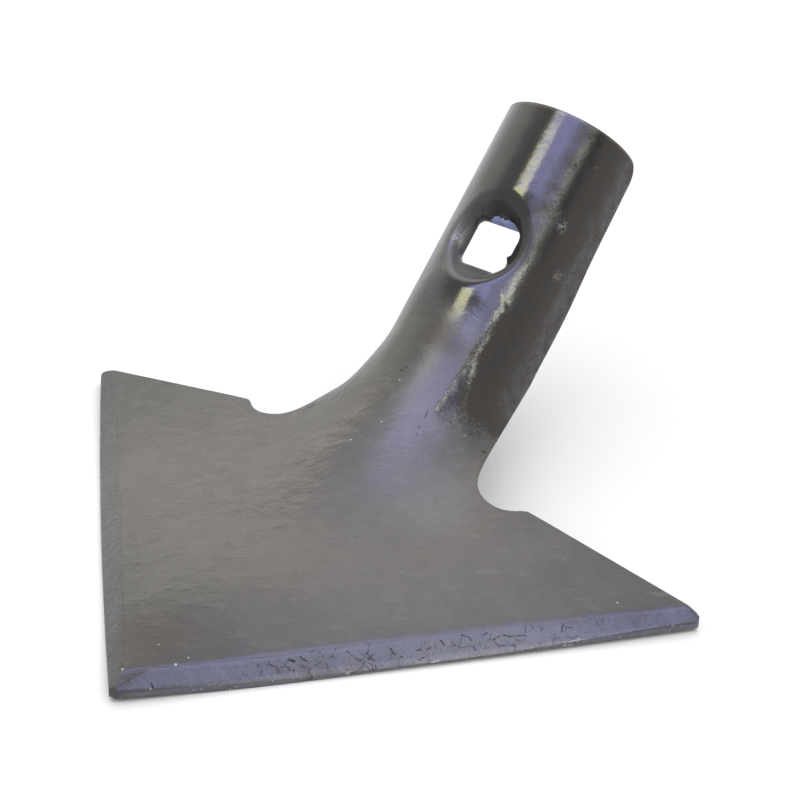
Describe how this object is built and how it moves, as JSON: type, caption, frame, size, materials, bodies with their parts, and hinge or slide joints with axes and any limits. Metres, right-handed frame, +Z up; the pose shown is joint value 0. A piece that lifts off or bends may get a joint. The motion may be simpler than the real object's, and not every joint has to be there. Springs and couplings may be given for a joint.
{
  "type": "cultivator sweep",
  "caption": "V-shaped cultivator sweep for shallow weeding, with arched wings, bevelled cutting edges and a half-round channel stem that has a recessed square bolt hole",
  "frame": {"origin": "on the ground, under the middle of the part's box", "axes": "+Z up from the ground that the cutting edges rest on, -Y towards the nose, +Y towards the stem's end, X across the wings"},
  "size_m": [0.1996, 0.2052, 0.0904],
  "materials": {
    "lacquered_steel": "dark gloss lacquer over a forged steel surface"
  },
  "bodies": {
    "root": {"sweep": "lacquered_steel"}
  },
  "joints": []
}
